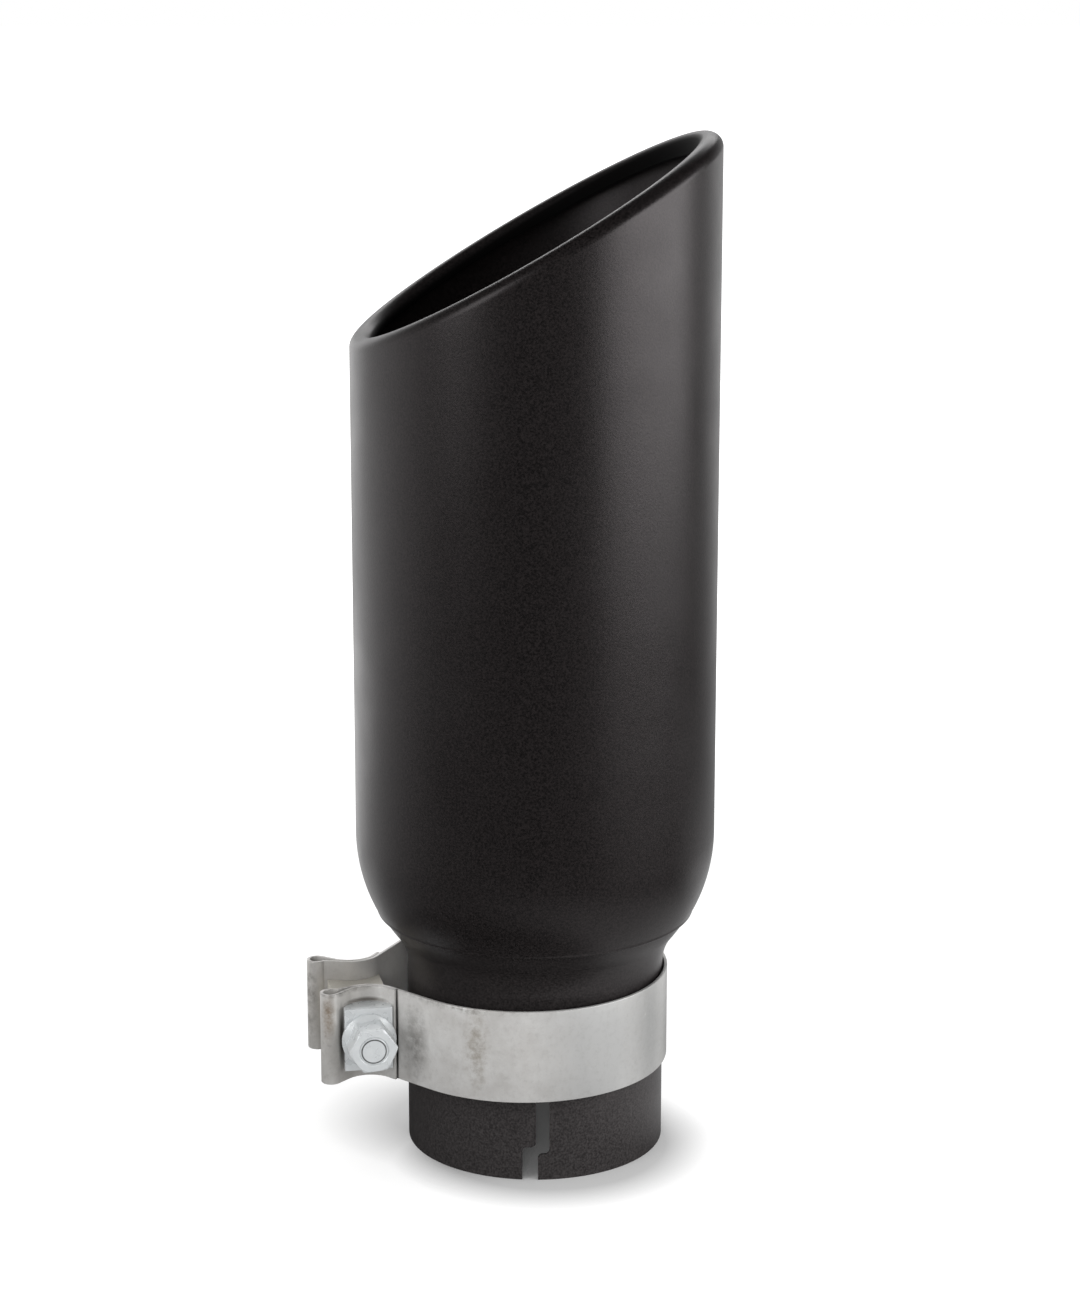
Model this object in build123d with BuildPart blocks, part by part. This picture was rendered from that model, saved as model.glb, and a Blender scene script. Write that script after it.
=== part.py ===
from build123d import *
import math
import os

os.makedirs("parts", exist_ok=True)

# Driving dimensions in millimetres, angles in degrees.
# The origin is on the tip's axis at the lower rim of the inlet collar, +Z runs up to the outlet,
# +X points to the high side of the slash cut.

# Sheet of the shell and of the collar
sheet = 1.2

# Outer shell
body_r = 63.5
slash_angle = 30.0
crest_z = 327.5
lip_r = 4.3
lip_leg = 1.2
crest_flat = 0.3
shoulder_arc_r = 58.4

# Inlet collar, a slip fit on an 88.9 mm pipe
pipe_r = 44.45
pipe_fit = 0.05
neck_over = 0.8
flare_arc_r = 20.9
seam_rise = 7.1
seam_step = 0.5

# Stepped slot that lets the collar close on the pipe
slot_low_x = -1.7
slot_low_w = 5.5
slot_high_x = 2.7
slot_high_w = 4.8
slot_step_low_z = 9.6
slot_step_high_z = 12.4
slot_top_z = 50.0
slot_corner_r = 1.6

# Band clamp, hung loose on the collar
band_z = 31.5
band_w = 33.5
strap = 1.25
band_slack = 4.0
band_touch_gap = 0.3
ear_turn = 11.3
layer_gap = 0.15
strap_end_len = 3.2
ear_reach = 18.1
ear_half_gap = 13.9
roll_r = 3.6
roll_out = 3.3
roll_up = 3.1
crease_r = 1.1
crease_angle = 235.0

# Blocks, spacer and fastener of the clamp
seat_gap = 0.1
block_w = 16.9
block_h = 22.8
block_depth = 8.0
trough_margin = 0.95
spacer_h = 19.5
bolt_r = 5.0
run_gap = 0.05
bolt_hole_gap = 0.4
strap_hole_gap = 1.0
nut_af = 15.0
nut_len = 12.0
flange_r = 9.6
flange_edge = 1.4
flange_lap = 0.2
flange_slope = 20.0
hex_bevel = 0.9
hex_bevel_drop = 0.5
countersink = 0.8
nut_clocking = 35.0
face_gap = 0.02
head_len = 9.0
bolt_end_chamfer = 0.6

# How far a cutter runs past the piece it cuts
cut_over = 5.0

# Sizes that follow from the ones above
neck_in_r = pipe_r + pipe_fit
neck_r = neck_in_r + sheet
trough_r = block_w / 2 + trough_margin
slash_tan = math.tan(math.radians(slash_angle))
slash_normal = (-math.sin(math.radians(slash_angle)), 0, math.cos(math.radians(slash_angle)))
top_z = crest_z + body_r * slash_tan + cut_over
wall_in_r = body_r - sheet
lip_in_r = body_r - 2 * lip_r

# Section of the shoulder: the collar's flare runs up from the straight neck above the band and turns
# over into an arc about the shoulder's own centre, a step inside the shell, which ends at the seam
shoulder_cr = body_r - shoulder_arc_r
arc_in_r = shoulder_arc_r - sheet
collar_arc_r = shoulder_arc_r - seam_step
collar_in_arc_r = collar_arc_r - sheet
flare_cr = neck_r + flare_arc_r
flare_in_r = flare_arc_r + sheet
flare_z = band_z + band_w + neck_over
bend_sin = (flare_cr - shoulder_cr) / (collar_arc_r + flare_arc_r)
bend_cos = math.sqrt(1 - bend_sin**2)
shoulder_top_z = flare_z + (collar_arc_r + flare_arc_r) * bend_cos
seam_z = shoulder_top_z - collar_arc_r * bend_cos + seam_rise


def shoulder_r(arc_r):
    """Radius at the seam of an arc about the shoulder's centre."""
    return shoulder_cr + math.sqrt(arc_r**2 - (shoulder_top_z - seam_z) ** 2)


def bend_point(arc_r):
    """Point where an arc about the shoulder's centre runs into the flare."""
    return (shoulder_cr + arc_r * bend_sin, shoulder_top_z - arc_r * bend_cos)


def slash_plane(depth):
    """Plane of the slash cut, lowered by depth along its own normal."""
    base = Vector(0, 0, crest_z) - Vector(*slash_normal) * depth
    return Plane(origin=base, x_dir=(0, 1, 0), z_dir=slash_normal)


def cross_tangent(c1, r1, c2, r2, turn):
    """Touch points and direction of a straight that passes between two circles."""
    base = math.atan2(c2[1] - c1[1], c2[0] - c1[0])
    angle = base + turn * math.acos((r1 + r2) / math.dist(c1, c2))
    step = (math.cos(angle), math.sin(angle))
    p1 = (c1[0] + r1 * step[0], c1[1] + r1 * step[1])
    p2 = (c2[0] - r2 * step[0], c2[1] - r2 * step[1])
    return p1, p2, math.degrees(angle)


# Space inside the rolled lip and below it, between the wall and the lip's inner leg
hollow_z = shoulder_top_z - cut_over
with BuildPart() as lip_hollow:
    with BuildSketch(Plane.XY.offset(hollow_z)):
        Circle(wall_in_r)
        Circle(lip_in_r + sheet, mode=Mode.SUBTRACT)
    extrude(amount=top_z - hollow_z)
    split(bisect_by=slash_plane(sheet), keep=Keep.BOTTOM)
    hollow_face = lip_hollow.faces().sort_by(Axis((0, 0, 0), slash_normal))[-1]
    fillet(hollow_face.edges(), radius=lip_r - sheet - crest_flat / 2)

# Space below the end of the lip's inner leg
with BuildPart() as leg_trim:
    with BuildSketch(Plane.XY.offset(hollow_z)):
        Circle(body_r - lip_r)
    extrude(amount=top_z - hollow_z)
    split(bisect_by=slash_plane(lip_r + lip_leg), keep=Keep.BOTTOM)

# Outer shell: straight wall, slash cut with its lip rolled inward, spun shoulder
seam_r = shoulder_r(shoulder_arc_r)
seam_in_r = shoulder_r(arc_in_r)
with BuildPart() as outer_shell:
    with BuildSketch(Plane.XY.offset(shoulder_top_z)):
        Circle(body_r)
        Circle(lip_in_r, mode=Mode.SUBTRACT)
    extrude(amount=top_z - shoulder_top_z)
    split(bisect_by=slash_plane(0), keep=Keep.BOTTOM)
    crest_face = outer_shell.faces().sort_by(Axis((0, 0, 0), slash_normal))[-1]
    fillet(crest_face.edges(), radius=lip_r - crest_flat / 2)
    add(lip_hollow.part, mode=Mode.SUBTRACT)
    add(leg_trim.part, mode=Mode.SUBTRACT)
    with BuildSketch(Plane.XZ):
        with BuildLine():
            RadiusArc((seam_r, seam_z), (body_r, shoulder_top_z), -shoulder_arc_r)
            Line((body_r, shoulder_top_z), (wall_in_r, shoulder_top_z))
            RadiusArc((wall_in_r, shoulder_top_z), (seam_in_r, seam_z), arc_in_r)
            Line((seam_in_r, seam_z), (seam_r, seam_z))
        make_face()
    revolve(axis=Axis.Z)
outer_shell.part.label = "outer_shell"
export_step(outer_shell.part, "parts/outer_shell.step")

# Inlet collar: straight neck with a flared top that meets the shell at the seam
collar_top_r = shoulder_r(collar_arc_r)
collar_top_in_r = shoulder_r(collar_in_arc_r)
with BuildPart() as inlet_collar:
    with BuildSketch(Plane.XZ):
        with BuildLine():
            Line((neck_in_r, 0), (neck_r, 0))
            Line((neck_r, 0), (neck_r, flare_z))
            RadiusArc((neck_r, flare_z), bend_point(collar_arc_r), flare_arc_r)
            RadiusArc(bend_point(collar_arc_r), (collar_top_r, seam_z), -collar_arc_r)
            Line((collar_top_r, seam_z), (collar_top_in_r, seam_z))
            RadiusArc((collar_top_in_r, seam_z), bend_point(collar_in_arc_r), collar_in_arc_r)
            RadiusArc(bend_point(collar_in_arc_r), (neck_in_r, flare_z), -flare_in_r)
            Line((neck_in_r, flare_z), (neck_in_r, 0))
        make_face()
    revolve(axis=Axis.Z)
    low_a = slot_low_x - slot_low_w / 2
    low_b = slot_low_x + slot_low_w / 2
    high_a = slot_high_x - slot_high_w / 2
    high_b = slot_high_x + slot_high_w / 2
    with BuildSketch(Plane.XZ) as slot_shape:
        with BuildLine():
            Polyline(
                (low_a, -cut_over),
                (low_b, -cut_over),
                (low_b, slot_step_low_z),
                (high_b, slot_step_low_z),
                (high_b, slot_top_z),
                (high_a, slot_top_z),
                (high_a, slot_step_high_z),
                (low_a, slot_step_high_z),
                close=True,
            )
        make_face()
        fillet(slot_shape.vertices().filter_by(lambda v: v.Y > 0), radius=slot_corner_r)
    extrude(amount=2 * neck_r, mode=Mode.SUBTRACT)
inlet_collar.part.label = "inlet_collar"
export_step(inlet_collar.part, "parts/inlet_collar.step")

# Clamp frame: x runs out along the ears, y along the bolt to the nut, z up
turn = math.radians(180 + ear_turn)
ear_dir = (math.cos(turn), math.sin(turn), 0)
bolt_dir = (-math.sin(turn), math.cos(turn), 0)
band_in_r = neck_r + band_slack
band_shift = band_slack - band_touch_gap
band_mid_z = band_z + band_w / 2
bolt_x = neck_r + ear_reach


def clamp_plane(z):
    """Horizontal plane of the clamp frame at height z."""
    return Plane(origin=(0, 0, z), x_dir=ear_dir, z_dir=(0, 0, 1))


def bolt_plane(y):
    """Plane across the bolt at the distance y from the clamp's middle."""
    base = clamp_plane(band_mid_z).from_local_coords(Vector(bolt_x, y, 0))
    return Plane(origin=base, x_dir=(0, 0, 1), z_dir=bolt_dir)


# Centre line of half the strap: its cut end, the trough, the rolled ear, the inner layer, the band
mid_band_r = band_in_r + strap / 2
mid_out_r = trough_r + strap / 2
mid_in_r = mid_out_r + strap + layer_gap
mid_roll_r = roll_r - strap / 2
band_c = (band_shift, 0)
trough_c = (bolt_x, ear_half_gap + trough_r)
roll_c = (bolt_x + trough_r + roll_out, ear_half_gap + roll_up)
crease_dir = (math.cos(math.radians(crease_angle)), math.sin(math.radians(crease_angle)))
crease_c = (
    roll_c[0] + (mid_roll_r + crease_r) * crease_dir[0],
    roll_c[1] + (mid_roll_r + crease_r) * crease_dir[1],
)
band_p, in_p, band_a = cross_tangent(band_c, mid_band_r, trough_c, mid_in_r, 1)
out_p, roll_p, out_a = cross_tangent(trough_c, mid_out_r, roll_c, mid_roll_r, -1)
rise_p, crease_p, rise_a = cross_tangent(trough_c, mid_in_r, crease_c, crease_r, -1)
start_a = 180 + band_a
end_dir = (-math.sin(math.radians(band_a)), math.cos(math.radians(band_a)))
out_start = (
    trough_c[0] - mid_out_r * math.cos(math.radians(band_a)),
    trough_c[1] - mid_out_r * math.sin(math.radians(band_a)),
)
strap_end = (
    out_start[0] + strap_end_len * end_dir[0],
    out_start[1] + strap_end_len * end_dir[1],
)
with BuildPart() as clamp_band:
    with BuildSketch(clamp_plane(band_z)):
        with BuildLine():
            Line(strap_end, out_start)
            CenterArc(trough_c, mid_out_r, start_a, 180 + out_a - band_a)
            Line(out_p, roll_p)
            CenterArc(roll_c, mid_roll_r, out_a + 180, crease_angle - 540 - out_a)
            CenterArc(crease_c, crease_r, crease_angle - 180, rise_a + 360 - crease_angle)
            Line(crease_p, rise_p)
            CenterArc(trough_c, mid_in_r, rise_a, band_a - 180 - rise_a)
            Line(in_p, band_p)
            CenterArc(band_c, mid_band_r, band_a, 180 - band_a)
        trace(line_width=strap)
        mirror(about=Plane.XZ)
    extrude(amount=band_w)
    with BuildSketch(bolt_plane(0)):
        Circle(bolt_r + strap_hole_gap)
    extrude(amount=2 * trough_c[1], both=True, mode=Mode.SUBTRACT)
clamp_band.part.label = "clamp_band"
export_step(clamp_band.part, "parts/clamp_band.step")

# Spacer between the two ears, hollowed on both sides to the strap's troughs
spacer_r = mid_in_r + strap / 2 + seat_gap
rise_dir = (-math.sin(math.radians(rise_a)), math.cos(math.radians(rise_a)))
spacer_in = (
    trough_c[0] - spacer_r * math.cos(math.radians(band_a)),
    trough_c[1] - spacer_r * math.sin(math.radians(band_a)),
)
spacer_rise = (
    trough_c[0] + spacer_r * math.cos(math.radians(rise_a)),
    trough_c[1] + spacer_r * math.sin(math.radians(rise_a)),
)
spacer_run = (bolt_x + trough_r - spacer_rise[0]) / rise_dir[0]
spacer_out = (bolt_x + trough_r, spacer_rise[1] + spacer_run * rise_dir[1])
with BuildPart() as ear_spacer:
    with BuildSketch(clamp_plane(band_mid_z - spacer_h / 2)):
        with BuildLine():
            Line((spacer_in[0], 0), spacer_in)
            CenterArc(trough_c, spacer_r, start_a, rise_a + 180 - band_a)
            Line(spacer_rise, spacer_out)
            Line(spacer_out, (spacer_out[0], 0))
            Line((spacer_out[0], 0), (spacer_in[0], 0))
        make_face()
        mirror(about=Plane.XZ)
    extrude(amount=spacer_h)
    with BuildSketch(bolt_plane(0)):
        Circle(bolt_r + bolt_hole_gap)
    extrude(amount=trough_c[1], both=True, mode=Mode.SUBTRACT)
ear_spacer.part.label = "ear_spacer"
export_step(ear_spacer.part, "parts/ear_spacer.step")

# Block under the nut: flat face outside, round back seated in the trough
block_arc_r = trough_r - seat_gap
block_back_y = trough_c[1] - block_arc_r
block_face_y = block_back_y + block_depth
block_side_y = trough_c[1] - math.sqrt(block_arc_r**2 - (block_w / 2) ** 2)
with BuildPart() as nut_block:
    with BuildSketch(clamp_plane(band_mid_z - block_h / 2)):
        with BuildLine():
            ThreePointArc(
                (bolt_x - block_w / 2, block_side_y),
                (bolt_x, block_back_y),
                (bolt_x + block_w / 2, block_side_y),
            )
            Polyline(
                (bolt_x + block_w / 2, block_side_y),
                (bolt_x + block_w / 2, block_face_y),
                (bolt_x - block_w / 2, block_face_y),
                (bolt_x - block_w / 2, block_side_y),
            )
        make_face()
    extrude(amount=block_h)
    with BuildSketch(bolt_plane(block_back_y - cut_over)):
        Circle(bolt_r + bolt_hole_gap)
    extrude(amount=block_depth + 2 * cut_over, mode=Mode.SUBTRACT)
nut_block.part.label = "nut_block"
export_step(nut_block.part, "parts/nut_block.step")

# Block under the bolt head, the mirror image of the one under the nut
with BuildPart() as head_block:
    mirror(nut_block.part, about=Plane(origin=(0, 0, 0), x_dir=ear_dir, z_dir=bolt_dir))
head_block.part.label = "head_block"
export_step(head_block.part, "parts/head_block.step")

# Bolt: flanged hexagon head on the far block, plain shank at thread size, chamfered end
hex_corner_r = nut_af / math.sqrt(3)
flange_in_r = nut_af / 2 - flange_lap
flange_top = flange_edge + (flange_r - flange_in_r) * math.tan(math.radians(flange_slope))
nut_y = block_face_y + face_gap
head_y = -nut_y
axial_dir = (-bolt_dir[1], bolt_dir[0], 0)


def axial_plane(y, up):
    """Plane through the bolt's axis, its y running away from the clamp's middle."""
    side = tuple(c * up for c in axial_dir)
    return Plane(origin=bolt_plane(y).origin, x_dir=(0, 0, 1), z_dir=side)


bolt_axis = Axis(bolt_plane(0).origin, bolt_dir)
with BuildPart() as clamp_bolt:
    with BuildSketch(bolt_plane(head_y)):
        RegularPolygon(radius=nut_af / 2, side_count=6, major_radius=False)
    extrude(amount=-head_len)
    with BuildSketch(axial_plane(head_y, -1)):
        with BuildLine():
            Polyline(
                (0, 0),
                (hex_corner_r, 0),
                (hex_corner_r, head_len - hex_bevel_drop),
                (hex_corner_r - hex_bevel, head_len),
                (0, head_len),
                close=True,
            )
        make_face()
    revolve(axis=bolt_axis, mode=Mode.INTERSECT)
    with BuildSketch(axial_plane(head_y, -1)):
        with BuildLine():
            Polyline(
                (0, 0),
                (flange_r, 0),
                (flange_r, flange_edge),
                (flange_in_r, flange_top),
                (0, flange_top),
                close=True,
            )
        make_face()
    revolve(axis=bolt_axis)
    with BuildSketch(bolt_plane(head_y)):
        Circle(bolt_r)
    extrude(amount=nut_y + nut_len - head_y)
    end_face = clamp_bolt.faces().sort_by(bolt_axis)[-1]
    chamfer(end_face.edges(), length=bolt_end_chamfer)
clamp_bolt.part.label = "clamp_bolt"
export_step(clamp_bolt.part, "parts/clamp_bolt.step")

# Hexagon nut with a flange, bevelled outside and countersunk round the bolt end
bore_r = bolt_r + run_gap
with BuildPart() as clamp_nut:
    with BuildSketch(bolt_plane(nut_y)):
        RegularPolygon(radius=nut_af / 2, side_count=6, major_radius=False, rotation=nut_clocking)
    extrude(amount=nut_len)
    with BuildSketch(axial_plane(nut_y, 1)):
        with BuildLine():
            Polyline(
                (0, 0),
                (hex_corner_r, 0),
                (hex_corner_r, nut_len - hex_bevel_drop),
                (hex_corner_r - hex_bevel, nut_len),
                (0, nut_len),
                close=True,
            )
        make_face()
    revolve(axis=bolt_axis, mode=Mode.INTERSECT)
    with BuildSketch(axial_plane(nut_y, 1)):
        with BuildLine():
            Polyline(
                (0, 0),
                (flange_r, 0),
                (flange_r, flange_edge),
                (flange_in_r, flange_top),
                (0, flange_top),
                close=True,
            )
        make_face()
    revolve(axis=bolt_axis)
    with BuildSketch(axial_plane(nut_y, 1)):
        with BuildLine():
            Polyline(
                (0, -cut_over),
                (bore_r, -cut_over),
                (bore_r, nut_len - countersink),
                (bore_r + countersink, nut_len),
                (bore_r + countersink, nut_len + cut_over),
                (0, nut_len + cut_over),
                close=True,
            )
        make_face()
    revolve(axis=bolt_axis, mode=Mode.SUBTRACT)
clamp_nut.part.label = "clamp_nut"
export_step(clamp_nut.part, "parts/clamp_nut.step")
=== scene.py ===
import math

import bmesh
import bpy
import numpy as np
from mathutils import Matrix, Vector


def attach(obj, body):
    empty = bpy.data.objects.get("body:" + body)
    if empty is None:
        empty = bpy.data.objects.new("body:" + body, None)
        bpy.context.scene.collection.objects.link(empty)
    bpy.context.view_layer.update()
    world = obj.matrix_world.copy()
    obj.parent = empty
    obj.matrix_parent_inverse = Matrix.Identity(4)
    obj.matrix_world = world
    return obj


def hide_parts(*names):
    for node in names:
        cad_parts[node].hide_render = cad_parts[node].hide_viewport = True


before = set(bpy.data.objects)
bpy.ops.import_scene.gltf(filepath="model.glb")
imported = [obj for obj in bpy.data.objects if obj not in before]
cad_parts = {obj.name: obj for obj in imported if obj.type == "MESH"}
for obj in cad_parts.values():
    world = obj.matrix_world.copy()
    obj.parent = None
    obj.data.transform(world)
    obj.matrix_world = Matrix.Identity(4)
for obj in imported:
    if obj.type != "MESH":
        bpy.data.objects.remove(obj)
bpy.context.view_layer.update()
scene = bpy.context.scene

# Sizes in metres, the same as in the part's source.
MM = 0.001
sheet = 1.2 * MM
body_r = 63.5 * MM
slash_angle = math.radians(30)
crest_z = 327.5 * MM
lip_r = 4.3 * MM
leg_depth = 5.5 * MM
shoulder_arc_r = 58.4 * MM
neck_in_r = 44.5 * MM
neck_r = 45.7 * MM
neck_over = 0.8 * MM
flare_arc_r = 20.9 * MM
seam_rise = 7.1 * MM
seam_step = 0.5 * MM
# Left and right sides of the slot's lower and upper parts
slot_low = (-4.45 * MM, 1.05 * MM)
slot_high = (0.3 * MM, 5.1 * MM)
slot_step_low_z = 9.6 * MM
slot_step_high_z = 12.4 * MM
slot_top_z = 50 * MM
slot_corner_r = 1.6 * MM
cut_over = 5 * MM
band_z = 31.5 * MM
band_w = 33.5 * MM
strap = 1.25 * MM
band_in_r = 49.7 * MM
band_shift = 3.7 * MM
layer_gap = 0.15 * MM
strap_end_len = 3.2 * MM
bolt_x = 63.8 * MM
trough_r = 9.4 * MM
ear_half_gap = 13.9 * MM
roll_r = 3.6 * MM
roll_out = 3.3 * MM
roll_up = 3.1 * MM
crease_r = 1.1 * MM
crease_angle = 235
seat_gap = 0.1 * MM
block_w = 16.9 * MM
block_h = 22.8 * MM
block_depth = 8 * MM
spacer_h = 19.5 * MM
bolt_r = 5.0 * MM
run_gap = 0.05 * MM
bolt_hole_gap = 0.4 * MM
strap_hole_gap = 1.0 * MM
nut_af = 15.0 * MM
nut_len = 12.0 * MM
nut_y = 22.02 * MM
head_len = 9.0 * MM
flange_r = 9.6 * MM
flange_edge = 1.4 * MM
flange_slope = math.radians(20)
hex_bevel = 0.9 * MM
hex_bevel_drop = 0.5 * MM
nut_clocking = math.radians(35)

# Sizes of what only this script draws: the seam's bead, eased edges, the thread and the bolt's end.
bead_h = 0.3 * MM
leg_least = 0.05 * MM
joint_sink = 0.2 * MM
rim_edge = 0.25 * MM
strap_edge = 0.3 * MM
spacer_edge = 0.35 * MM
block_edge = 0.45 * MM
hex_edge = 0.15 * MM
hex_edge_dip = 0.3 * hex_edge
hex_corner_ease = 0.12 * MM
nut_mouth = 0.35 * MM
thread_pitch = 1.5 * MM
thread_depth = 0.75 * MM
thread_start = -12 * MM
thread_steps = 10
thread_flat = 1.3
bolt_tip_h = 0.4 * MM
bolt_tip_edge = 0.05 * MM
bolt_tip_edge_h = 0.1 * MM
bolt_tip_chamfer = 0.85 * MM
bolt_flat_inset = 1.2 * MM

# How the pieces are made: points that count as one, the angle of an edge that is eased, the steps of a
# round hole in degrees, and the reach of the tools that cut.
merge_dist = 2e-6
eased_angle = math.radians(35)
hole_step = 7.5
drill_reach = 30 * MM
slot_tool_span = (30 * MM, 60 * MM)

# Section of the shoulder: the collar's flare turns over into an arc about the shoulder's centre, a step
# inside the shell, and the shell ends at the seam.
collar_arc_r = shoulder_arc_r - seam_step
flare_z = band_z + band_w + neck_over
bend_sin = (neck_r + flare_arc_r - body_r + shoulder_arc_r) / (collar_arc_r + flare_arc_r)
bend_cos = math.sqrt(1 - bend_sin**2)
shoulder_top_z = flare_z + (collar_arc_r + flare_arc_r) * bend_cos
seam_z = shoulder_top_z - collar_arc_r * bend_cos + seam_rise

# Clamp frame: out along the ears, along the bolt to the nut, up.
ear_turn = math.radians(180 + 11.3)
ear_dir = Vector((math.cos(ear_turn), math.sin(ear_turn), 0))
bolt_dir = Vector((-math.sin(ear_turn), math.cos(ear_turn), 0))
up_dir = Vector((0, 0, 1))
clamp_axes = (ear_dir, bolt_dir, up_dir)
band_mid = up_dir * (band_z + band_w / 2)
clamp_turn = Matrix.Identity(4)
for column, axis in enumerate(clamp_axes):
    clamp_turn.col[column].xyz = axis
clamp_place = Matrix.Translation(band_mid) @ clamp_turn
bolt_place = Matrix.Translation(ear_dir * bolt_x + band_mid)
for column, axis in enumerate((up_dir, ear_dir, bolt_dir)):
    bolt_place.col[column].xyz = axis


def linear(hex_colour):
    """Linear RGBA of an sRGB hex colour."""
    channels = [int(hex_colour[i : i + 2], 16) / 255 for i in (1, 3, 5)]
    return [c / 12.92 if c < 0.04045 else ((c + 0.055) / 1.055) ** 2.4 for c in channels] + [1]


def add(tree, kind, inputs=None, **settings):
    """Adds a node with its settings, and a link or a value on each input that is named."""
    node = tree.nodes.new(kind)
    for name, value in settings.items():
        setattr(node, name, value)
    for name, value in (inputs or {}).items():
        if isinstance(value, bpy.types.NodeSocket):
            tree.links.new(value, node.inputs[name])
        else:
            node.inputs[name].default_value = value
    return node


def work_out(tree, values, rule):
    """Adds the steps of a rule, each named so that the steps after it can use it."""
    for name, operation, *terms in rule:
        inputs = {k: values.get(term, term) for k, term in enumerate(terms)}
        values[name] = add(tree, "ShaderNodeMath", inputs, operation=operation).outputs[0]


def along_axes(tree, spot, centre, axes):
    """How far a spot lies from a centre along each of the axes."""
    away = add(tree, "ShaderNodeVectorMath", {0: spot, 1: centre}, operation="SUBTRACT").outputs[0]
    shares = []
    for axis in axes:
        along = add(tree, "ShaderNodeVectorMath", {0: away, 1: axis}, operation="DOT_PRODUCT")
        shares.append(along.outputs["Value"])
    return shares


def rounded(corners, steps=4):
    """Closed outline through (x, y, radius) corners, each turned at its own radius."""
    outline = []
    for before, corner, after in zip(corners[-1:] + corners[:-1], corners, corners[1:] + corners[:1]):
        here = Vector(corner[:2])
        if not corner[2]:
            outline.append(here)
            continue
        back = (Vector(before[:2]) - here).normalized()
        ahead = (Vector(after[:2]) - here).normalized()
        half = back.angle(ahead) / 2
        centre = here + (back + ahead).normalized() * corner[2] / math.sin(half)
        start = here + back * corner[2] / math.tan(half) - centre
        turn = start.angle_signed(here + ahead * corner[2] / math.tan(half) - centre)
        for k in range(steps + 1):
            angle = -turn * k / steps
            c, s = math.cos(angle), math.sin(angle)
            outline.append(centre + Vector((c * start.x - s * start.y, s * start.x + c * start.y)))
    return outline


def arc(centre, radius, start, sweep, step=3):
    """Points of an arc, angles in degrees."""
    count = max(2, round(abs(sweep) / step) + 1)
    angles = np.radians(start + sweep * np.linspace(0, 1, count))
    return [(centre[0] + radius * math.cos(a), centre[1] + radius * math.sin(a)) for a in angles]


def heading(degrees):
    """Unit direction at an angle."""
    return Vector((math.cos(math.radians(degrees)), math.sin(math.radians(degrees))))


def cross_tangent(c1, r1, c2, r2, turn):
    """Direction in degrees of a straight that passes between two circles."""
    base = math.atan2(c2[1] - c1[1], c2[0] - c1[0])
    return math.degrees(base + turn * math.acos((r1 + r2) / math.dist(c1, c2)))


def flipped(points):
    """The points on the clamp's other side, in reverse order."""
    return [(x, -y) for x, y in points[::-1]]


def new_piece(name, points, faces):
    """A mesh object from points and faces."""
    mesh = bpy.data.meshes.new(name)
    mesh.from_pydata([tuple(p) for p in points], [], faces)
    piece = bpy.data.objects.new(name, mesh)
    scene.collection.objects.link(piece)
    return piece


def grid_faces(turns, rows, closed):
    """Quads of a grid that closes round its turns, and round its rows where closed says so."""
    faces = []
    for i in range(turns):
        k = (i + 1) % turns
        for j in range(rows if closed else rows - 1):
            m = (j + 1) % rows
            faces.append((i * rows + j, k * rows + j, k * rows + m, i * rows + m))
    return faces


def prism(name, outline, low, high):
    """A block with this outline between two heights."""
    n = len(outline)
    points = [(p[0], p[1], low) for p in outline] + [(p[0], p[1], high) for p in outline]
    sides = [(i, (i + 1) % n, n + (i + 1) % n, n + i) for i in range(n)]
    return new_piece(name, points, [tuple(range(n))[::-1], tuple(range(n, 2 * n))] + sides)


def settle(piece):
    """Turns a piece with its modifiers into a plain mesh."""
    scene.view_layers[0].update()
    shaped = piece.evaluated_get(bpy.context.evaluated_depsgraph_get())
    mesh = bpy.data.meshes.new_from_object(shaped)
    piece.modifiers.clear()
    if piece.type == "CURVE":
        name = piece.name
        bpy.data.objects.remove(piece)
        solid = bpy.data.objects.new(name, mesh)
        scene.collection.objects.link(solid)
        return solid
    piece.data = mesh
    return piece


def rule_tree(name, sizes):
    """A Geometry Nodes tree with a geometry in and out and a named input for each size."""
    tree = bpy.data.node_groups.new(name, "GeometryNodeTree")
    for way in ("INPUT", "OUTPUT"):
        tree.interface.new_socket("Geometry", in_out=way, socket_type="NodeSocketGeometry")
    for size in sizes:
        tree.interface.new_socket(size, in_out="INPUT", socket_type="NodeSocketFloat")
    return tree, add(tree, "NodeGroupInput")


def apply_rule(piece, tree, geometry, material, sizes):
    """Ends a tree in real geometry with its material, sets its sizes and gives the piece its shape."""
    real = add(tree, "GeometryNodeRealizeInstances", {"Geometry": geometry})
    finished = add(
        tree,
        "GeometryNodeSetMaterial",
        {"Geometry": real.outputs["Geometry"], "Material": material},
    )
    add(tree, "NodeGroupOutput", {"Geometry": finished.outputs["Geometry"]})
    step = piece.modifiers.new("rule", "NODES")
    step.node_group = tree
    for socket in tree.interface.items_tree:
        if socket.name in sizes:
            step[socket.identifier] = sizes[socket.name]
    return settle(piece)


def cut(piece, cutter):
    """Takes the cutter's shape out of the piece."""
    step = piece.modifiers.new("cut", "BOOLEAN")
    step.object = cutter
    step.solver = "EXACT"
    settle(piece)
    bpy.data.objects.remove(cutter)


def drill(piece, gap):
    """Cuts a hole for the bolt through the piece, wider than the bolt by this gap all round."""
    outline = arc((0, 0), bolt_r + gap, 0, 360 - hole_step, hole_step)
    tool = prism("hole_tool", outline, -drill_reach, drill_reach)
    tool.data.transform(bolt_place)
    cut(piece, tool)


def soften(piece, width):
    """Rounds the sharp edges of a piece."""
    step = piece.modifiers.new("edge", "BEVEL")
    step.width = width
    step.segments = 2
    step.limit_method = "ANGLE"
    step.angle_limit = eased_angle
    settle(piece)


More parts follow.
